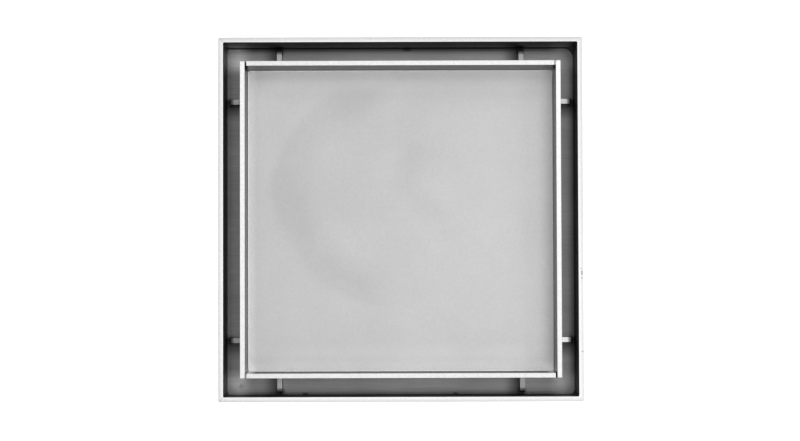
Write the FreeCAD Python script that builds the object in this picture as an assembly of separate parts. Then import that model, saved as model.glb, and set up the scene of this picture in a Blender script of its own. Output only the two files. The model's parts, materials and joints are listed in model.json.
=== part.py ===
import FreeCAD, Part
import os

# Square tile-insert shower drain: a folded pan with a welded outlet, and a loose folded tray on welded feet.
# Millimetres. The origin is the centre of the outlet's lower end, +X is right, +Y is away and +Z is up.

# Pan: one sheet, floor and four walls folded up, corners welded and ground
frame_side = 115.0
pan_depth = 20.0
pan_sheet = 1.6
pan_bend = 0.6
pan_corner = 0.6
pan_seam = 0.4
edge_break = 0.1

# Outlet: a tube welded under the hole in the pan's floor
spigot_diameter = 76.0
spigot_wall = 1.5
spigot_length = 30.0
spigot_lead_in = 1.0
weld_leg = 2.0

# Tile tray: one sheet, four flanges folded up, corners left open, top edges flush with the rim
slot_sides = 5.2
slot_ends = 5.8
tray_sheet = 1.6
tray_bend = 0.4
corner_gap = 0.4

# Feet: short plates on edge, welded under the tray, two to a side
foot_sheet = 1.6
foot_height = 4.4
foot_seat = 6.0
foot_nose = 0.4
foot_wall_clearance = 0.8
foot_pair_clearance = 2.9

# Levels and half sizes that the pieces share
frame_half = frame_side / 2
opening_half = frame_half - pan_sheet
pan_floor = spigot_length + pan_sheet
rim = pan_floor + pan_depth
spigot_radius = spigot_diameter / 2
outlet_radius = spigot_radius - spigot_wall
tray_half_x = opening_half - slot_sides
tray_half_y = opening_half - slot_ends
tray_fold = tray_sheet + tray_bend
tray_underside = pan_floor + foot_height

ORIGIN = FreeCAD.Vector(0, 0, 0)
AWAY = FreeCAD.Vector(0, 1, 0)
UP = FreeCAD.Vector(0, 0, 1)
LEVEL_TOLERANCE = 1e-4


def line(start, end):
    """A straight edge between two points of the XZ plane."""
    a = FreeCAD.Vector(start[0], 0, start[1])
    b = FreeCAD.Vector(end[0], 0, end[1])
    return Part.LineSegment(a, b).toShape()


def quarter(centre, radius, across, up):
    """A quarter circle in the XZ plane, in the quadrant that the signs of across and up give."""
    share = radius * 0.5 ** 0.5
    x, z = centre
    side = FreeCAD.Vector(x + across * radius, 0, z)
    middle = FreeCAD.Vector(x + across * share, 0, z + up * share)
    end = FreeCAD.Vector(x, 0, z + up * radius)
    return Part.Arc(side, middle, end).toShape()


def bar(edges, length):
    """A closed outline in the XZ plane, drawn out along Y and centred on it."""
    face = Part.Face(Part.Wire(Part.__sortEdges__(edges)))
    return face.extrude(AWAY * length).translated(AWAY * (-length / 2))


def turned(shape, degrees):
    return shape.rotated(ORIGIN, UP, degrees)


def block(half_x, half_y, bottom, top):
    corner = FreeCAD.Vector(-half_x, -half_y, bottom)
    return Part.makeBox(2 * half_x, 2 * half_y, top - bottom, corner)


def level_edges(shape, height):
    """The edges of a shape that lie wholly at one height."""
    return [
        edge for edge in shape.Edges
        if abs(edge.BoundBox.ZMin - height) < LEVEL_TOLERANCE
        and abs(edge.BoundBox.ZMax - height) < LEVEL_TOLERANCE
    ]


def folded_box(half, bottom, top, bend, corner):
    """A square box whose floor turns up into its walls with a bend, and whose upright corners are rounded."""
    outline = [
        line((-half, top), (-half, bottom + bend)),
        quarter((bend - half, bottom + bend), bend, -1, -1),
        line((bend - half, bottom), (half - bend, bottom)),
        quarter((half - bend, bottom + bend), bend, 1, -1),
        line((half, bottom + bend), (half, top)),
        line((half, top), (-half, top)),
    ]
    trough = bar(outline, 2 * half)
    post = block(half, half, bottom, top)
    upright = [edge for edge in post.Edges if edge.BoundBox.ZLength > LEVEL_TOLERANCE]
    return trough.common(turned(trough, 90)).common(post.makeFillet(corner, upright))


def make_pan():
    outside = folded_box(frame_half, spigot_length, rim, pan_bend + pan_sheet, pan_corner)
    inside = folded_box(opening_half, pan_floor, rim + pan_sheet, pan_bend, pan_seam)
    outlet = Part.makeCylinder(outlet_radius, pan_sheet, FreeCAD.Vector(0, 0, spigot_length))
    pan = outside.cut(inside).cut(outlet).removeSplitter()
    mouth = [edge for edge in level_edges(pan, pan_floor) if isinstance(edge.Curve, Part.Circle)]
    return pan.makeFillet(edge_break, level_edges(pan, rim) + mouth)


def make_spigot():
    """A tube with a lead-in at its lower end and a fillet weld round its upper end."""
    outline = [
        line((outlet_radius, 0), (spigot_radius - spigot_lead_in, 0)),
        line((spigot_radius - spigot_lead_in, 0), (spigot_radius, spigot_lead_in)),
        line((spigot_radius, spigot_lead_in), (spigot_radius, spigot_length - weld_leg)),
        line((spigot_radius, spigot_length - weld_leg), (spigot_radius + weld_leg, spigot_length)),
        line((spigot_radius + weld_leg, spigot_length), (outlet_radius, spigot_length)),
        line((outlet_radius, spigot_length), (outlet_radius, 0)),
    ]
    return Part.Face(Part.Wire(outline)).revolve(ORIGIN, UP, 360)


def make_flange(reach, bend_half, wall_half):
    """A flange on the +X side: the bend out of the floor, and the upright wall above it."""
    hinge = (reach - tray_fold, tray_underside + tray_fold)
    bend = [
        quarter(hinge, tray_fold, 1, -1),
        line((reach, hinge[1]), (reach - tray_sheet, hinge[1])),
        quarter(hinge, tray_bend, 1, -1),
        line((hinge[0], tray_underside + tray_sheet), (hinge[0], tray_underside)),
    ]
    wall = [
        line((reach - tray_sheet, hinge[1]), (reach, hinge[1])),
        line((reach, hinge[1]), (reach, rim)),
        line((reach, rim), (reach - tray_sheet, rim)),
        line((reach - tray_sheet, rim), (reach - tray_sheet, hinge[1])),
    ]
    return bar(bend, 2 * bend_half).fuse(bar(wall, 2 * wall_half))


def make_tray():
    """The side flanges run the tray's full length, and the end flanges stand between them."""
    floor_x = tray_half_x - tray_fold
    floor_y = tray_half_y - tray_fold
    floor = block(floor_x, floor_y, tray_underside, tray_underside + tray_sheet)
    side = make_flange(tray_half_x, floor_y, tray_half_y)
    end = make_flange(tray_half_y, floor_x, tray_half_x - tray_sheet - corner_gap)
    flanges = [side, turned(end, 90), turned(side, 180), turned(end, 270)]
    tray = floor.fuse(flanges).removeSplitter()
    return tray.makeFillet(edge_break, level_edges(tray, rim))


def make_foot(tray_half, offset):
    """A plate on edge on the +X side: its toe clears the pan's bend, and its nose is rounded in the slot."""
    heel = tray_half - tray_fold - foot_seat
    tip = opening_half - foot_wall_clearance
    toe = min(pan_bend, foot_height / 2)
    nose = min(foot_nose, (foot_height - toe) / 2)
    outline = [
        line((heel, tray_underside), (heel, pan_floor)),
        line((heel, pan_floor), (tip - toe, pan_floor)),
        quarter((tip - toe, pan_floor + toe), toe, 1, -1),
        line((tip, pan_floor + toe), (tip, tray_underside - nose)),
        quarter((tip - nose, tray_underside - nose), nose, 1, 1),
        line((tip - nose, tray_underside), (heel, tray_underside)),
    ]
    return bar(outline, foot_sheet).translated(AWAY * offset)


def make_feet():
    """Two feet to a side, named by their side and by the corner that they stand near."""
    inset = tray_fold + foot_seat + foot_pair_clearance + foot_sheet / 2
    sides = [
        ("right", 0, tray_half_x, tray_half_y, {1: "back", -1: "front"}),
        ("back", 90, tray_half_y, tray_half_x, {1: "left", -1: "right"}),
        ("left", 180, tray_half_x, tray_half_y, {1: "front", -1: "back"}),
        ("front", 270, tray_half_y, tray_half_x, {1: "right", -1: "left"}),
    ]
    feet = {}
    for side, turn, reach, half_length, corners in sides:
        for sign, corner in corners.items():
            foot = make_foot(reach, sign * (half_length - inset))
            feet[f"foot_{side}_{corner}"] = turned(foot, turn)
    return feet


nodes = {"pan": make_pan(), "outlet_spigot": make_spigot(), "tile_tray": make_tray(), **make_feet()}

os.makedirs("parts", exist_ok=True)
for name, shape in nodes.items():
    shape.exportStep(f"parts/{name}.step")
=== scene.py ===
import json
import math

import bpy
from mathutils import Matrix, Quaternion, Vector


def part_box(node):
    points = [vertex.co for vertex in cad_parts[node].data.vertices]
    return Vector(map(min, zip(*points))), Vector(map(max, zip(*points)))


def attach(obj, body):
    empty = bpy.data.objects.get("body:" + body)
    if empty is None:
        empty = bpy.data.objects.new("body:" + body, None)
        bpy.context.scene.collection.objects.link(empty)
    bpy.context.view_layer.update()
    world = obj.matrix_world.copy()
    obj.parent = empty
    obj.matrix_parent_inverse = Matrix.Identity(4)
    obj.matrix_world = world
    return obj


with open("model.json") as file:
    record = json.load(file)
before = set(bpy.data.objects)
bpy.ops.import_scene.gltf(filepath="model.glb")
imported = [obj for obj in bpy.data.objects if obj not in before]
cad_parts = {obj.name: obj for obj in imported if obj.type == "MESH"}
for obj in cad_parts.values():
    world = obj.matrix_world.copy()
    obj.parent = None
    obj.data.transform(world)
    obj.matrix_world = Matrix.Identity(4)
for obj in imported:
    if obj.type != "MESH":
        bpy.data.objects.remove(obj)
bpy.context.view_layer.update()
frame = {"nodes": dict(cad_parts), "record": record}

# Square tile-insert shower drain, seen from straight above under a soft overhead light. Metres.
MM = 0.001
pan_low, pan_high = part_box("pan")
tray_low, tray_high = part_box("tile_tray")
foot_low, foot_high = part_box("foot_back_left")
spigot_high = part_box("outlet_spigot")[1]
mounts = {mount["name"]: mount for mount in frame["record"]["mounts"]}

# Levels and half sizes, from the frame
RIM = pan_high.z
PAN_UNDERSIDE = pan_low.z
PAN_FLOOR = foot_low.z
SHEET = PAN_FLOOR - PAN_UNDERSIDE
FRAME_HALF = pan_high.x
OPENING_HALF = FRAME_HALF - SHEET
TRAY_UNDERSIDE = tray_low.z
TRAY_FLOOR = TRAY_UNDERSIDE + SHEET
TRAY_HALF_X = tray_high.x
TRAY_HALF_Y = tray_high.y
FOOT_TIP = foot_high.y
SPIGOT_RADIUS = mounts["spigot"]["dims"]["r_mm"] * MM
WELD_LEG = spigot_high.x - SPIGOT_RADIUS

# Inside bends of the pan and the tray, how far the tray's bend reaches in, and the gap at its corners
PAN_BEND, TRAY_BEND = 0.6 * MM, 0.4 * MM
TRAY_FOLD = SHEET + TRAY_BEND
CORNER_GAP = 0.4 * MM

# The upright part of a face's direction: below the first it is a wall, above the second a floor
STEEP, FLAT = 0.2, 0.9

# The two faces of a sheet are told apart between these shares of its thickness
NEAR_HALF, FAR_HALF = 0.4, 0.6

# Half the stretch at a corner over which one side's tone becomes the next's
SHARP_TURN, SOFT_TURN = 0.1 * MM, 2.0 * MM

# Noise scales per metre: grain across and along its lines, slow clouds and fine specks
GRAIN_ACROSS, GRAIN_ALONG = 2600.0, 60.0
CLOUD, SPECK = 60.0, 1500.0

# Roughness of the ground edges on top of the pan and the tray
GROUND_ROUGHNESS = 0.35

# Each foot is its own offcut of sheet, with its own roughness; its brightness is partly painted light,
# set per foot to match how the light falls in each slot
FOOT_LIGHT_AND_FINISH = {
    "foot_left_back": (0.6, 0.42),
    "foot_left_front": (0.56, 0.42),
    "foot_right_back": (0.56, 0.24),
    "foot_right_front": (0.68, 0.24),
    "foot_back_left": (0.74, 0.4),
    "foot_back_right": (0.62, 0.4),
    "foot_front_left": (0.68, 0.4),
    "foot_front_right": (0.6, 0.4),
}

WHITE = (1.0, 1.0, 1.0, 1.0)

scene = bpy.context.scene


class Graph:
    """A material's node tree, with short calls for the nodes that the finishes use."""

    def __init__(self, name):
        self.material = bpy.data.materials.new(name)
        self.material.use_nodes = True
        self.tree = self.material.node_tree
        self.shader = self.tree.nodes["Principled BSDF"]
        self.position = self.node("ShaderNodeTexCoord").outputs["Object"]
        self.x, self.y, self.z = self.split(self.position)
        self.across = self.math("ABSOLUTE", self.x)
        self.along = self.math("ABSOLUTE", self.y)
        self.reach = self.math("MAXIMUM", self.across, self.along)
        self.into_corner = self.math("MINIMUM", self.across, self.along)
        self.normal = self.node("ShaderNodeNewGeometry").outputs["Normal"]
        facing = self.split(self.normal)
        self.sideways = self.math("ABSOLUTE", facing[0])
        self.level = self.ramp(self.math("ABSOLUTE", facing[2]), STEEP, FLAT)
        self.upward = self.ramp(facing[2], STEEP, FLAT)

    def node(self, kind, **settings):
        made = self.tree.nodes.new(kind)
        for key, value in settings.items():
            setattr(made, key, value)
        return made

    def put(self, socket, value):
        if isinstance(value, bpy.types.NodeSocket):
            self.tree.links.new(value, socket)
        else:
            socket.default_value = value

    def math(self, operation, *values, clamp=False):
        made = self.node("ShaderNodeMath", operation=operation, use_clamp=clamp)
        for socket, value in zip(made.inputs, values):
            self.put(socket, value)
        return made.outputs[0]

    def add(self, first, *others):
        for other in others:
            first = self.math("ADD", first, other)
        return first

    def times(self, first, *others):
        for other in others:
            first = self.math("MULTIPLY", first, other)
        return first

    def less(self, first, second):
        return self.math("SUBTRACT", first, second)

    def most(self, first, *others):
        for other in others:
            first = self.math("MAXIMUM", first, other)
        return first

    def split(self, vector):
        made = self.node("ShaderNodeSeparateXYZ")
        self.put(made.inputs[0], vector)
        return made.outputs

    def join(self, x, y, z):
        made = self.node("ShaderNodeCombineXYZ")
        for socket, value in zip(made.inputs, (x, y, z)):
            self.put(socket, value)
        return made.outputs[0]

    def ramp(self, value, low, high, to_low=0.0, to_high=1.0):
        """value from low to high becomes to_low to to_high, smoothly and no further."""
        made = self.node("ShaderNodeMapRange", interpolation_type="SMOOTHSTEP")
        for socket, number in zip(made.inputs, (value, low, high, to_low, to_high)):
            self.put(socket, number)
        return made.outputs[0]

    def noise(self, vector, scale, detail=3.0, roughness=0.55):
        made = self.node("ShaderNodeTexNoise")
        self.put(made.inputs["Vector"], vector)
        made.inputs["Scale"].default_value = scale
        made.inputs["Detail"].default_value = detail
        made.inputs["Roughness"].default_value = roughness
        return made.outputs["Fac"]

    def lines(self, x_scale, y_scale, z_scale):
        """Noise drawn out into lines along the axes of the smallest scale."""
        stretched = self.join(
            self.times(self.x, x_scale),
            self.times(self.y, y_scale),
            self.times(self.z, z_scale),
        )
        return self.noise(stretched, scale=1.0, detail=4.0)

    def vary(self, noise, amount):
        """A small number about 0, up to amount either way, from a noise of 0 to 1."""
        low, high = 0.25, 0.75
        return self.ramp(noise, low, high, -amount, amount)

    def patchy(self, noise, smooth, rough):
        """Roughness in patches between smooth and rough, from a noise of 0 to 1."""
        low, high = 0.3, 0.7
        return self.ramp(noise, low, high, smooth, rough)

    def blend(self, mask, low, high):
        """A number that is low where mask is 0 and high where it is 1."""
        made = self.node("ShaderNodeMix", data_type="FLOAT")
        for socket, value in zip(made.inputs[0:1] + made.inputs[2:4], (mask, low, high)):
            self.put(socket, value)
        return made.outputs[0]

    def length(self, x, y):
        return self.math("SQRT", self.add(self.times(x, x), self.times(y, y)))

    def distance(self, place):
        """How far a point is from an upright line through a place in millimetres."""
        return self.length(self.less(self.x, place[0] * MM), self.less(self.y, place[1] * MM))

    def spot(self, place, radius):
        """1 at a place, falling to 0 at a radius, both in millimetres and seen from above."""
        return self.ramp(self.distance(place), 0.0, radius * MM, 1.0, 0.0)

    def streak(self, start, end, width):
        """1 on the line from start to end, falling to 0 at width, in millimetres as seen from above."""
        start = Vector(start) * MM
        run = Vector(end) * MM - start
        from_start = (self.less(self.x, start.x), self.less(self.y, start.y))
        shares = [self.times(side, step / run.length_squared) for side, step in zip(from_start, run)]
        share = self.math("ADD", *shares, clamp=True)
        aside = [self.less(side, self.times(share, step)) for side, step in zip(from_start, run)]
        return self.ramp(self.length(*aside), 0.0, width * MM, 1.0, 0.0)

    def flatten(self, mask):
        """The surface's direction, turned straight up where mask is 1."""
        lift = 20.0
        raised = self.node("ShaderNodeVectorMath", operation="ADD")
        self.put(raised.inputs[0], self.normal)
        self.put(raised.inputs[1], self.join(0.0, 0.0, self.times(mask, lift)))
        unit = self.node("ShaderNodeVectorMath", operation="NORMALIZE")
        self.put(unit.inputs[0], raised.outputs[0])
        return unit.outputs[0]

    def grey(self, value):
        """A grey of that brightness."""
        made = self.node("ShaderNodeCombineColor")
        for socket in made.inputs:
            self.put(socket, value)
        return made.outputs[0]

    def finish(self, value, roughness, height, normal=None, glance=None):
        """Steel of that brightness, roughness and fine height; glance is its brightness edge on."""
        bump_strength, bump_depth = 0.3, 0.02 * MM
        self.put(self.shader.inputs["Base Color"], self.grey(value))
        self.put(self.shader.inputs["Roughness"], roughness)
        self.shader.inputs["Metallic"].default_value = 1.0
        if glance is not None:
            self.put(self.shader.inputs["Specular Tint"], self.grey(glance))
        relief = self.node("ShaderNodeBump")
        relief.inputs["Strength"].default_value = bump_strength
        relief.inputs["Distance"].default_value = bump_depth
        self.put(relief.inputs["Height"], height)
        self.put(relief.inputs["Normal"], normal or self.normal)
        self.put(self.shader.inputs["Normal"], relief.outputs[0])
        return self.material


def grain(graph):
    """Rolling grain of a sheet: lines along X on the floor and end walls, upright on the side walls."""
    turned_sideways = 0.7
    side_wall = graph.math("GREATER_THAN", graph.sideways, turned_sideways)
    return graph.lines(GRAIN_ALONG, GRAIN_ACROSS, graph.blend(side_wall, GRAIN_ACROSS, GRAIN_ALONG))


def top_edge(graph):
    """1 on the cut edges that lie level with the rim."""
    start, end = RIM - 0.25 * MM, RIM - 0.1 * MM
    return graph.ramp(graph.z, start, end)


def by_side(graph, back, front, left, right, spread):
    """A number for each side of the square, changing at the corners over a spread either way."""
    at_side = graph.ramp(graph.less(graph.across, graph.along), -spread, spread)
    ends = graph.ramp(graph.y, -FRAME_HALF, FRAME_HALF, front, back)
    sides = graph.ramp(graph.x, -FRAME_HALF, FRAME_HALF, left, right)
    return graph.blend(at_side, ends, sides)


def by_corner(graph, front_left, front_right, back_left, back_right):
    """A number for each corner of the square, changing smoothly between them."""
    front = graph.ramp(graph.x, -FRAME_HALF, FRAME_HALF, front_left, front_right)
    back = graph.ramp(graph.x, -FRAME_HALF, FRAME_HALF, back_left, back_right)
    return graph.ramp(graph.y, -FRAME_HALF, FRAME_HALF, front, back)


def rim_steel(graph):
    """Ground edge of the pan: brighter inwards, with a weld line at each corner, a few nicks, and painted
    light that differs by side and corner.
    """
    nicks = [
        ((56.7, -15.8), 0.3),
        ((57.0, -16.8), 0.5),
        ((57.0, -17.4), 0.5),
        ((57.0, -18.8), 0.35),
        ((57.1, -41.8), 0.4),
    ]
    nick_tone = 0.55
    outer, inner = 0.66, 0.74
    outer_end, inner_start = 0.25 * SHEET, 0.75 * SHEET
    weld_left, weld_right = 0.88, 0.97
    weld_half, weld_end = 0.1 * MM, 0.45 * MM
    speck_scale, speckle = 1800.0, 0.03
    speck = graph.noise(graph.position, speck_scale)
    in_from_edge = graph.less(FRAME_HALF, graph.reach)
    off_mitre = graph.math("ABSOLUTE", graph.less(graph.across, graph.along))
    weld = graph.ramp(off_mitre, weld_half, weld_end, 1.0, 0.0)
    weld_tone = graph.ramp(graph.x, -FRAME_HALF, FRAME_HALF, weld_left, weld_right)
    nick = graph.most(*[graph.spot(place, radius) for place, radius in nicks])
    ground = graph.ramp(in_from_edge, outer_end, inner_start, outer, inner)
    # painted light: the rim's brightness is set per side and per corner to match how the light falls on
    # it
    return graph.times(
        graph.add(ground, graph.vary(speck, speckle)),
        by_side(graph, back=1.01, front=1.04, left=1.08, right=1.075, spread=SHARP_TURN),
        by_corner(graph, front_left=1.07, front_right=0.94, back_left=0.95, back_right=0.87),
        graph.blend(weld, 1.0, weld_tone),
        graph.blend(nick, 1.0, nick_tone),
    )


def shadow_beside(graph, place, edge):
    """Painted shadow against one face of a foot: 1 at the edge, falling to 0 below it along an axis."""
    width = 6.0 * MM
    below = graph.less(edge, place)
    return graph.times(
        graph.math("GREATER_THAN", below, 0.0),
        graph.ramp(below, 0.0, width, 1.0, 0.0),
    )


def shade_at_tips(graph):
    """Painted shade on the floor between the feet's tips and the walls."""
    width = 2.0
    streaks = []
    for foot in FOOT_LIGHT_AND_FINISH:
        low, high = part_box(foot)
        middle = 0.5 * (low + high).xy
        if abs(middle.x) > abs(middle.y):
            outward = Vector((math.copysign(1.0, middle.x), 0.0))
        else:
            outward = Vector((0.0, math.copysign(1.0, middle.y)))
        at_tip = middle + outward * (FOOT_TIP - middle.dot(outward))
        at_wall = at_tip + outward * (OPENING_HALF - FOOT_TIP)
        streaks.append(graph.streak(at_tip / MM, at_wall / MM, width))
    return graph.most(*streaks)


def pan_floor_shade(graph):
    """Painted shadow on the pan's floor against one face of the back and left feet, and painted shade at
    every tip.
    """
    face_shadow_tone, tip_shade_tone = 0.45, 0.3
    back_feet = ("foot_back_left", "foot_back_right")
    left_feet = ("foot_left_back", "foot_left_front")
    shadowed_faces = graph.most(
        *[shadow_beside(graph, graph.x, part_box(name)[0].x) for name in back_feet],
        *[shadow_beside(graph, graph.y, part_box(name)[0].y) for name in left_feet],
    )
    return graph.times(
        graph.blend(shadowed_faces, 1.0, face_shadow_tone),
        graph.blend(shade_at_tips(graph), 1.0, tip_shade_tone),
    )


def pan_floor_marks(graph):
    """Dark marks on the pan's floor: three tacks along the walls and a mottled smudge in a corner."""
    tacks = [
        ((1.3, 55.7), (3.0, 55.7)),
        ((-31.5, -55.8), (-30.4, -55.8)),
        ((17.2, -55.8), (18.0, -55.8)),
    ]
    tack_width, tack_tone = 0.8, 0.5
    smudge_place, smudge_radius = (-51.6, -53.3), 1.6
    smudge_tone = 0.75
    mottle_low, mottle_high = 0.4, 0.6
    tack = graph.most(*[graph.streak(start, end, tack_width) for start, end in tacks])
    mottle = graph.ramp(graph.noise(graph.position, SPECK), mottle_low, mottle_high)
    smudge = graph.times(graph.spot(smudge_place, smudge_radius), mottle)
    return graph.times(
        graph.blend(tack, 1.0, tack_tone),
        graph.blend(smudge, 1.0, smudge_tone),
    )


def pan_floor_steel(graph, lines):
    """Dull floor with marks, and with painted light and shade: paler in the corners, a tone per side, and
    painted shade along the walls and beside the feet.
    """
    cloudiness, streakiness = 0.03, 0.025
    corner_start, corner_end = OPENING_HALF - 9.0 * MM, OPENING_HALF - 3.0 * MM
    wide, near = 2.2 * MM, 1.1 * MM
    corner_wide_shade, corner_near_shade = 0.95, 0.85
    cloud = graph.noise(graph.position, CLOUD)
    from_wall = graph.less(OPENING_HALF, graph.reach)
    in_corner = graph.ramp(graph.into_corner, corner_start, corner_end)
    # painted light: the corners are paler and each side has its own tone, matching how the light reaches
    # the floor of the slot
    corners = by_corner(graph, front_left=0.635, front_right=0.6, back_left=0.765, back_right=0.54)
    sides = by_side(graph, back=0.508, front=0.464, left=0.366, right=0.433, spread=6.0 * MM)
    wide_shade = by_side(graph, back=0.75, front=0.95, left=0.87, right=0.75, spread=SOFT_TURN)
    near_shade = by_side(graph, back=0.5, front=0.58, left=0.95, right=0.65, spread=SOFT_TURN)
    plain = graph.add(
        graph.blend(in_corner, sides, corners),
        graph.vary(cloud, cloudiness),
        graph.vary(lines, streakiness),
    )
    return graph.times(
        plain,
        graph.ramp(from_wall, 0.0, wide, graph.blend(in_corner, wide_shade, corner_wide_shade), 1.0),
        graph.ramp(from_wall, 0.0, near, graph.blend(in_corner, near_shade, corner_near_shade), 1.0),
        pan_floor_marks(graph),
        pan_floor_shade(graph),
    )


def pan_wall_steel(graph, lines):
    """Inside walls, with painted shade darker down towards the floor and in the corner seams, and painted
    light and shade at the foot that differ per side, brightest on the left.
    """
    # painted shade: the walls darken from pale near the rim to dark at the floor
    dark, pale = 0.25, 0.5
    streakiness = 0.03
    pale_start, foot_end = PAN_FLOOR + 5.0 * MM, PAN_FLOOR + 9.0 * MM
    seam_start, seam_end = OPENING_HALF - 1.2 * MM, OPENING_HALF - 0.3 * MM
    seam_shade_tone = 0.3
    # painted light and shade at the walls' foot: a painted reflection brightens the left wall, and the
    # back wall is shaded
    foot_light_and_shade = by_side(graph, back=0.6, front=1.0, left=2.0, right=1.0, spread=SOFT_TURN)
    return graph.times(
        graph.add(graph.ramp(graph.z, pale_start, RIM, dark, pale), graph.vary(lines, streakiness)),
        graph.ramp(graph.z, PAN_FLOOR, foot_end, foot_light_and_shade, 1.0),
        graph.ramp(graph.into_corner, seam_start, seam_end, 1.0, seam_shade_tone),
    )


def pan_wall_roughness(graph):
    """Inside walls: smooth at the foot, rougher upwards and most of all below the rim."""
    at_foot, above_foot, more_at_rim = 0.15, 0.36, 0.25
    foot_end = PAN_FLOOR + 12.0 * MM
    rim_start, rim_end = RIM - 8.0 * MM, RIM - 1.0 * MM
    return graph.add(
        graph.ramp(graph.z, PAN_FLOOR, foot_end, at_foot, above_foot),
        graph.ramp(graph.z, rim_start, rim_end, 0.0, more_at_rim),
    )


def pan_wall_glance(graph):
    """Brightness of the inside walls seen edge on: painted shade at the foot, set per side, and clean
    above it.
    """
    clean, fade = 0.85, 5.0 * MM
    foot_shade = by_side(graph, back=0.0, front=0.0, left=0.5, right=0.3, spread=SOFT_TURN)
    foot_shade_height = by_side(
        graph,
        back=2.0 * MM,
        front=6.0 * MM,
        left=9.0 * MM,
        right=8.0 * MM,
        spread=SOFT_TURN,
    )
    above_foot_shade = graph.less(graph.less(graph.z, PAN_FLOOR), foot_shade_height)
    return graph.ramp(above_foot_shade, 0.0, fade, foot_shade, clean)


def pan_steel():
    """Bright ground rim, dull floor and dark walls inside with painted light and shade, cleaner mill
    finish outside.
    """
    outside_grey = 0.6
    cloudiness, streakiness = 0.03, 0.04
    outside_roughness, floor_roughness = 0.36, 0.38
    bend_start, bend_end = PAN_FLOOR + PAN_BEND - 0.1 * MM, PAN_FLOOR + PAN_BEND + 0.1 * MM
    graph = Graph("pan_steel")
    lines = grain(graph)
    cloud = graph.noise(graph.position, CLOUD)
    in_from_edge = graph.less(FRAME_HALF, graph.reach)
    inside = graph.times(
        graph.ramp(in_from_edge, NEAR_HALF * SHEET, FAR_HALF * SHEET),
        graph.ramp(graph.z, PAN_UNDERSIDE + NEAR_HALF * SHEET, PAN_UNDERSIDE + FAR_HALF * SHEET),
    )
    at_bend = graph.times(inside, graph.ramp(graph.z, bend_start, bend_end, 1.0, 0.0))
    bottom = graph.times(inside, graph.most(graph.level, at_bend))
    outside = graph.add(outside_grey, graph.vary(cloud, cloudiness), graph.vary(lines, streakiness))
    upright = graph.blend(inside, outside, pan_wall_steel(graph, lines))
    upright_roughness = graph.blend(inside, outside_roughness, pan_wall_roughness(graph))
    value = graph.blend(bottom, upright, pan_floor_steel(graph, lines))
    roughness = graph.blend(bottom, upright_roughness, floor_roughness)
    edge = top_edge(graph)
    return graph.finish(
        graph.blend(edge, value, rim_steel(graph)),
        graph.blend(edge, roughness, GROUND_ROUGHNESS),
        lines,
        normal=graph.flatten(at_bend),
        glance=graph.blend(inside, 1.0, pan_wall_glance(graph)),
    )


def crescent_stain(graph):
    """A crescent with a wandering edge: the left part of a ring, 1 at its darkest."""
    centre, radius = (-4.8, 9.8), 31.0 * MM
    inner_fade = 11.0 * MM
    outer_start, outer_end = 3.0 * MM, 7.0 * MM
    right_start, right_end = -14.0 * MM, 2.0 * MM
    wander_scale, wander = 35.0, 1.8 * MM
    wavy = graph.vary(graph.noise(graph.position, wander_scale, detail=1.0), wander)
    beyond = graph.add(graph.less(graph.distance(centre), radius), wavy)
    return graph.times(
        graph.ramp(beyond, -inner_fade, 0.0),
        graph.ramp(beyond, outer_start, outer_end, 1.0, 0.0),
        graph.ramp(graph.x, right_start, right_end, 1.0, 0.0),
    )


def stains(graph):
    """Faint marks on the tray's floor: a blotchy crescent, two smears, and darker or paler patches, the
    two widest of which are painted shade at the back right and painted light at the front left.
    """
    blotches = [
        ((-19.0, 36.0), (-8.0, 40.0)),
        ((-33.5, 6.0), (-29.0, -9.0)),
        ((-24.0, -13.0), (-13.0, -20.0)),
    ]
    smears = [
        ((4.1, 22.4), (1.0, 12.0)),
        ((7.5, 6.0), (16.9, -3.4)),
    ]
    # the two widest patches are painted shade and painted light that even out how the light falls across
    # the floor
    patches_and_painted_light = [
        ((-4.6, 14.0), 11.0, 0.012),
        ((12.4, 12.7), 11.0, 0.012),
        ((14.0, 34.0), 42.0, -0.055),
        ((-38.0, -27.0), 36.0, 0.04),
        ((-42.0, 44.0), 22.0, 0.03),
        ((-18.0, 8.0), 20.0, -0.03),
        ((-13.0, 30.0), 14.0, -0.025),
    ]
    crescent_change, blotch_change, smear_change = -0.04, -0.018, -0.022
    blotch_width, smear_width = 5.5, 7.0
    blotch = graph.most(*[graph.streak(start, end, blotch_width) for start, end in blotches])
    smear = graph.most(*[graph.streak(start, end, smear_width) for start, end in smears])
    return graph.add(
        graph.times(crescent_stain(graph), crescent_change),
        graph.times(blotch, blotch_change),
        graph.times(smear, smear_change),
        *[graph.times(graph.spot(place, radius), change) for place, radius, change in patches_and_painted_light],
    )


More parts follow.
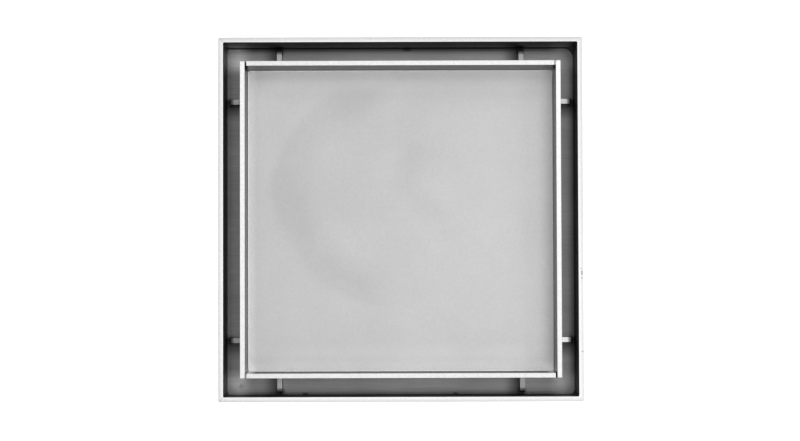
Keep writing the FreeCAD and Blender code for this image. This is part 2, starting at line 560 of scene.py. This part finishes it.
def tray_floor_steel(graph, speck):
    """Dull floor, stained and finely dotted, with painted light towards the bends that offsets the walls'
    shade, and darker in the corners.
    """
    grey, unevenness = 0.638, 0.012
    corner_start, corner_end = TRAY_HALF_Y - 12.0 * MM, TRAY_HALF_Y - 4.0 * MM
    corner_tone = 0.95
    cloud_scale, dot_scale = 40.0, 1100.0
    dark_start, dark_end, dark_tone = 0.66, 0.74, 0.96
    pale_end, pale_start, pale_tone = 0.26, 0.34, 1.025
    cloud = graph.noise(graph.position, cloud_scale)
    dots = graph.noise(graph.position, dot_scale)
    from_left = graph.add(TRAY_HALF_X - SHEET, graph.x)
    from_right = graph.less(TRAY_HALF_X - SHEET, graph.x)
    from_back = graph.less(TRAY_HALF_Y - SHEET, graph.y)
    from_front = graph.add(TRAY_HALF_Y - SHEET, graph.y)
    # painted light near each wall, brightest at the bends, set per side against the walls' shade
    painted_light = [
        (from_left, 3.5, 1.23),
        (from_left, 12.0, 1.06),
        (from_right, 9.0, 1.2),
        (from_back, 3.0, 1.13),
        (from_back, 9.0, 1.24),
        (from_front, 4.5, 1.2),
        (from_front, 10.5, 1.14),
    ]
    return graph.times(
        graph.add(grey, graph.vary(cloud, unevenness), graph.vary(speck, unevenness)),
        graph.add(1.0, graph.times(stains(graph), graph.upward)),
        *[graph.ramp(distance, 0.0, width * MM, tone, 1.0) for distance, width, tone in painted_light],
        graph.ramp(graph.into_corner, corner_start, corner_end, 1.0, corner_tone),
        graph.ramp(dots, dark_start, dark_end, 1.0, dark_tone),
        graph.ramp(dots, pale_end, pale_start, pale_tone, 1.0),
    )


def tray_wall_steel(graph, lines, painted_light, outside):
    """Upright walls, with painted shade darker upwards except near the corners, bright outside, and with
    a painted highlight at two spots.
    """
    pale, dark = 0.52, 0.42
    outside_grey, painted_light_grey = 0.65, 0.85
    streakiness = 0.03
    # painted shade: the inside walls darken upwards from the floor, less so near the corners
    dark_start, dark_end = 1.5 * MM, 8.5 * MM
    corner_start, corner_end = TRAY_HALF_Y - 6.0 * MM, TRAY_HALF_Y - 1.5 * MM
    corner_lift = 5.0 * MM
    at_corner = graph.ramp(graph.into_corner, corner_start, corner_end)
    height = graph.less(graph.less(graph.z, TRAY_FLOOR), graph.times(at_corner, corner_lift))
    inside_grey = graph.ramp(height, dark_start, dark_end, pale, dark)
    clean = graph.blend(outside, inside_grey, outside_grey)
    return graph.blend(painted_light, graph.add(clean, graph.vary(lines, streakiness)), painted_light_grey)


def tray_steel():
    """Dull floor, darker walls and bright cut edges on top, with painted light and shade set per side and
    corner, and a painted highlight at two spots.
    """
    ground_grey, speckle = 0.73, 0.03
    inside_roughness, outside_roughness, floor_roughness = 0.22, 0.65, 0.45
    painted_light_places, painted_light_radius = [(-47.9, -48.5), (47.9, -48.5)], 2.0
    graph = Graph("tray_steel")
    lines = grain(graph)
    speck = graph.noise(graph.position, SPECK)
    # painted highlight: two spots at the tray's front corners, bright in colour and edge on
    painted_light = graph.most(*[graph.spot(place, painted_light_radius) for place in painted_light_places])
    beyond_faces = graph.most(
        graph.less(graph.across, TRAY_HALF_X),
        graph.less(graph.along, TRAY_HALF_Y),
    )
    outside = graph.ramp(beyond_faces, -FAR_HALF * SHEET, -NEAR_HALF * SHEET)
    wall = tray_wall_steel(graph, lines, painted_light, outside)
    wall_roughness = graph.blend(outside, inside_roughness, outside_roughness)
    # painted light and shade: the walls' brightness edge on is set per side
    wall_glance = by_side(graph, back=0.56, front=0.33, left=0.5, right=0.68, spread=SHARP_TURN)
    value = graph.blend(graph.level, wall, tray_floor_steel(graph, speck))
    roughness = graph.blend(graph.level, wall_roughness, floor_roughness)
    # painted light: the cut edges' brightness is set per side and per corner
    ground = graph.times(
        graph.add(ground_grey, graph.vary(speck, speckle)),
        by_side(graph, back=0.945, front=0.965, left=1.02, right=1.0, spread=SHARP_TURN),
        by_corner(graph, front_left=1.09, front_right=0.97, back_left=1.03, back_right=0.99),
    )
    edge = top_edge(graph)
    return graph.finish(
        graph.blend(edge, value, ground),
        graph.blend(edge, roughness, GROUND_ROUGHNESS),
        lines,
        glance=graph.blend(graph.most(graph.level, painted_light), wall_glance, 1.0),
    )


def foot_steel(name, brightness, roughness):
    """Sheared edges and mill-finish cheeks, with painted shade at the tip."""
    cloud_scale = 300.0
    cloudiness, streakiness, patchiness = 0.05, 0.03, 0.04
    # painted shade at each foot's tip, where it meets the slot's shade by the wall
    tip_shade_start, tip_shade_end = FOOT_TIP - 1.7 * MM, FOOT_TIP - 0.6 * MM
    foot_tip_shade_tone = 0.35
    graph = Graph(name)
    lines = grain(graph)
    cloud = graph.noise(graph.position, cloud_scale)
    value = graph.times(
        graph.add(brightness, graph.vary(cloud, cloudiness), graph.vary(lines, streakiness)),
        graph.ramp(graph.reach, tip_shade_start, tip_shade_end, 1.0, foot_tip_shade_tone),
    )
    return graph.finish(value, graph.add(roughness, graph.vary(cloud, patchiness)), lines)


def outlet_steel():
    """Drawn tube with lines along it."""
    grey = 0.56
    cloudiness, streakiness = 0.04, 0.03
    graph = Graph("outlet_steel")
    lines = graph.lines(GRAIN_ACROSS, GRAIN_ACROSS, GRAIN_ALONG)
    cloud = graph.noise(graph.position, CLOUD)
    value = graph.add(grey, graph.vary(cloud, cloudiness), graph.vary(lines, streakiness))
    return graph.finish(value, graph.patchy(cloud, smooth=0.28, rough=0.36), lines)


def weld_steel(name, brightness):
    """Weld metal, mottled and fairly rough."""
    cloud_scale, speck_scale = 500.0, 3000.0
    cloudiness, speckle = 0.2 * brightness, 0.1 * brightness
    graph = Graph(name)
    cloud = graph.noise(graph.position, cloud_scale)
    speck = graph.noise(graph.position, speck_scale)
    value = graph.add(brightness, graph.vary(cloud, cloudiness), graph.vary(speck, speckle))
    return graph.finish(value, graph.patchy(cloud, smooth=0.35, rough=0.5), speck)


def dress(node, material):
    """Give one of the drain's solids its only material."""
    slots = frame["nodes"][node].data.materials
    slots.clear()
    slots.append(material)


dress("pan", pan_steel())
dress("tile_tray", tray_steel())
dress("outlet_spigot", outlet_steel())
for foot, foot_finish in FOOT_LIGHT_AND_FINISH.items():
    dress(foot, foot_steel(foot, *foot_finish))

clean_weld = weld_steel("clean_weld", brightness=0.45)
dark_weld = weld_steel("dark_weld", brightness=0.18)
ground_weld = weld_steel("ground_weld", brightness=0.6)


def add_piece(name, points, faces, material):
    """A closed mesh, fixed to the drain."""
    mesh = bpy.data.meshes.new(name)
    mesh.from_pydata(points, [], faces)
    mesh.update()
    mesh.shade_smooth()
    mesh.materials.append(material)
    piece = bpy.data.objects.new(name, mesh)
    scene.collection.objects.link(piece)
    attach(piece, "root")


def tube_faces(rings, sides, closed):
    """Quads between rings of points; the last ring meets the first if closed, or both ends are capped."""
    faces = []
    for ring in range(rings if closed else rings - 1):
        here, there = ring * sides, (ring + 1) % rings * sides
        for side in range(sides):
            beside = (side + 1) % sides
            faces.append((here + side, here + beside, there + beside, there + side))
    if not closed:
        last = (rings - 1) * sides
        faces.append(tuple(reversed(range(sides))))
        faces.append(tuple(range(last, last + sides)))
    return faces


def turned(faces):
    """The same faces, looking the other way."""
    return [tuple(reversed(face)) for face in faces]


def round_square(turn):
    """A point at that angle on a square with well rounded corners, 1 from its middle to each side."""
    squareness = 0.35
    return [math.copysign(abs(part) ** squareness, part) for part in (math.cos(turn), math.sin(turn))]


def make_spigot_weld():
    """The rippled bead in the angle between the spigot and the pan's underside."""
    ripples, steps, sides = 170, 8, 10
    bulge, ripple_height, bite = 0.3 * MM, 0.14 * MM, 0.2 * MM
    ripple_sweep, slope = 0.7, math.sqrt(0.5)
    points = []
    for ring in range(ripples * steps):
        turn = math.tau * ring / (ripples * steps)
        for side in range(sides):
            share = side / (sides - 1)
            crown = math.sin(math.pi * share)
            phase = (ring / steps + ripple_sweep * crown) % 1.0
            proud = crown * (bulge + ripple_height * (1.0 - phase) ** 2) - bite * (1.0 - crown)
            out = SPIGOT_RADIUS + WELD_LEG * share + proud * slope
            height = PAN_UNDERSIDE - WELD_LEG * (1.0 - share) - proud * slope
            points.append((out * math.cos(turn), out * math.sin(turn), height))
    faces = turned(tube_faces(ripples * steps, sides, closed=True))
    add_piece("spigot_weld", points, faces, clean_weld)


def make_corner_weld(name, sign_x, sign_y, size, height):
    """Weld in an inside corner of the pan: a hollow fillet, widest on the floor, dying out upwards."""
    rings, arc_points, bite = 14, 9, 0.3 * MM
    ripples, ripple_size = 3.0, 0.06
    taper, least = 1.5, 0.25
    points = []
    for ring in range(rings):
        share = ring / (rings - 1)
        ripple = ripple_size * math.sin(ripples * math.tau * share)
        radius = size * ((1.0 - share) ** taper + least + ripple * (1.0 - share))
        z = PAN_FLOOR - bite * (1.0 - share) + height * share
        outline = [(OPENING_HALF + bite, OPENING_HALF + bite)]
        outline.append((OPENING_HALF + bite, OPENING_HALF - radius))
        for step in range(arc_points):
            turn = 0.5 * math.pi * step / (arc_points - 1)
            along_x = OPENING_HALF - radius + radius * math.cos(turn)
            along_y = OPENING_HALF - radius + radius * math.sin(turn)
            outline.append((along_x, along_y))
        outline.append((OPENING_HALF - radius, OPENING_HALF + bite))
        if sign_x * sign_y > 0:
            outline.reverse()
        points += [(sign_x * x, sign_y * y, z) for x, y in outline]
    faces = tube_faces(rings, len(outline), closed=False)
    add_piece(name, points, faces, dark_weld)


def make_flange_weld(name, sign_x, sign_y, depth):
    """Weld in the gap between two of the tray's flanges, ground level with their tops, to a depth."""
    rows, sides = 9, 16
    overlap, inset = 0.05 * MM, 0.06 * MM
    sag = 0.2
    middle = TRAY_HALF_X - SHEET - 0.5 * CORNER_GAP
    half_width = 0.5 * CORNER_GAP + overlap
    points = []
    for row in range(rows):
        share = row / (rows - 1)
        row_depth = depth * (1.0 - sag * (2.0 * share - 1.0) ** 2)
        y = TRAY_HALF_Y - SHEET + inset + (SHEET - 2.0 * inset) * share
        for side in range(sides):
            across, down = round_square(math.tau * side / sides)
            x = middle + half_width * across
            z = RIM - inset - 0.5 * row_depth * (1.0 + down)
            points.append((sign_x * x, sign_y * y, z))
    faces = tube_faces(rows, sides, closed=False)
    if sign_x * sign_y < 0:
        faces = turned(faces)
    add_piece(name, points, faces, ground_weld)


def make_notch_weld(name, sign_x, sign_y):
    """Weld metal where two bends meet at a corner of the tray: a plug with rounded sides."""
    rings, sides = 7, 24
    bite, inset = 0.2 * MM, 0.05 * MM
    end_fullness, swell = 0.9, 0.1
    half = 0.5 * (TRAY_FOLD + bite) - inset
    centre_x = TRAY_HALF_X - inset - half
    centre_y = TRAY_HALF_Y - inset - half
    bottom, top = TRAY_UNDERSIDE + 0.1 * MM, TRAY_FLOOR + 0.6 * MM
    points = []
    for ring in range(rings):
        share = ring / (rings - 1)
        fullness = end_fullness + swell * math.sin(math.pi * share)
        for step in range(sides):
            along_x, along_y = round_square(math.tau * step / sides)
            x = centre_x + half * fullness * along_x
            y = centre_y + half * fullness * along_y
            points.append((sign_x * x, sign_y * y, bottom + (top - bottom) * share))
    faces = tube_faces(rings, sides, closed=False)
    if sign_x * sign_y < 0:
        faces = turned(faces)
    add_piece(name, points, faces, ground_weld)


tack_depth = 2.5 * MM
seam_depth = RIM - TRAY_FLOOR - TRAY_BEND
make_spigot_weld()
make_corner_weld("corner_weld_back_right", 1, 1, size=2.2 * MM, height=8.0 * MM)
make_corner_weld("corner_weld_front_right", 1, -1, size=1.0 * MM, height=5.0 * MM)
make_corner_weld("corner_weld_front_left", -1, -1, size=0.7 * MM, height=4.0 * MM)
make_corner_weld("corner_weld_back_left", -1, 1, size=0.6 * MM, height=4.0 * MM)
make_flange_weld("tray_tack_back_right", 1, 1, tack_depth)
make_flange_weld("tray_seam_weld_front_left", -1, -1, seam_depth)
make_notch_weld("tray_notch_weld_front_left", -1, -1)
make_notch_weld("tray_notch_weld_front_right", 1, -1)


def make_floor(grey, glow):
    """A plain pale floor that glows a little."""
    half, roughness = 3.0, 0.9
    corners = [(-half, -half, 0), (half, -half, 0), (half, half, 0), (-half, half, 0)]
    mesh = bpy.data.meshes.new("studio_floor")
    mesh.from_pydata(corners, [], [(0, 1, 2, 3)])
    floor = bpy.data.objects.new("studio_floor", mesh)
    scene.collection.objects.link(floor)
    material = bpy.data.materials.new("pale_floor")
    material.use_nodes = True
    shader = material.node_tree.nodes["Principled BSDF"]
    shader.inputs["Base Color"].default_value = (grey, grey, grey, 1.0)
    shader.inputs["Roughness"].default_value = roughness
    shader.inputs["Emission Color"].default_value = WHITE
    shader.inputs["Emission Strength"].default_value = glow
    mesh.materials.append(material)


def make_light(name, place, size, power):
    """A square soft light that faces the middle of the rim."""
    target = Vector((0.0, 0.0, RIM))
    data = bpy.data.lights.new(name, "AREA")
    data.shape = "SQUARE"
    data.size = size
    data.energy = power
    light = bpy.data.objects.new(name, data)
    light.location = place
    light.rotation_mode = "QUATERNION"
    light.rotation_quaternion = (target - Vector(place)).to_track_quat("-Z", "Y")
    scene.collection.objects.link(light)


def make_world(horizon, overhead):
    """A pale room, a little brighter at the horizon than overhead."""
    fade_start, fade_end = 0.1, 0.7
    world = bpy.data.worlds.new("studio")
    world.use_nodes = True
    nodes, links = world.node_tree.nodes, world.node_tree.links
    direction = nodes.new("ShaderNodeTexCoord")
    parts = nodes.new("ShaderNodeSeparateXYZ")
    fade = nodes.new("ShaderNodeMapRange")
    links.new(direction.outputs["Generated"], parts.inputs[0])
    links.new(parts.outputs["Z"], fade.inputs["Value"])
    fade.inputs["From Min"].default_value = fade_start
    fade.inputs["From Max"].default_value = fade_end
    fade.inputs["To Min"].default_value = horizon
    fade.inputs["To Max"].default_value = overhead
    links.new(fade.outputs[0], nodes["Background"].inputs["Strength"])
    nodes["Background"].inputs["Color"].default_value = WHITE
    scene.world = world


def make_camera():
    """Above the rim, leaning a little towards the front, as the photograph was taken."""
    distance = 0.70
    lean = math.radians(2.05)
    roll = math.radians(-0.17)
    aim = Vector((-0.2 * MM, -0.5 * MM, RIM))
    data = bpy.data.cameras.new("camera")
    data.sensor_width = 36.0
    data.lens = 100.0
    camera = bpy.data.objects.new("camera", data)
    back = Vector((0.0, -math.sin(lean), math.cos(lean)))
    camera.location = aim + back * distance
    camera.rotation_mode = "QUATERNION"
    camera.rotation_quaternion = (-back).to_track_quat("-Z", "Y") @ Quaternion((0.0, 0.0, 1.0), roll)
    scene.collection.objects.link(camera)
    scene.camera = camera


make_floor(grey=0.5, glow=0.8)
make_world(horizon=0.8, overhead=0.55)
make_light("softbox", place=(0.55, 0.25, 1.5), size=2.0, power=12.5)
make_camera()
scene.view_settings.view_transform = "Standard"
scene.view_settings.gamma = 0.65
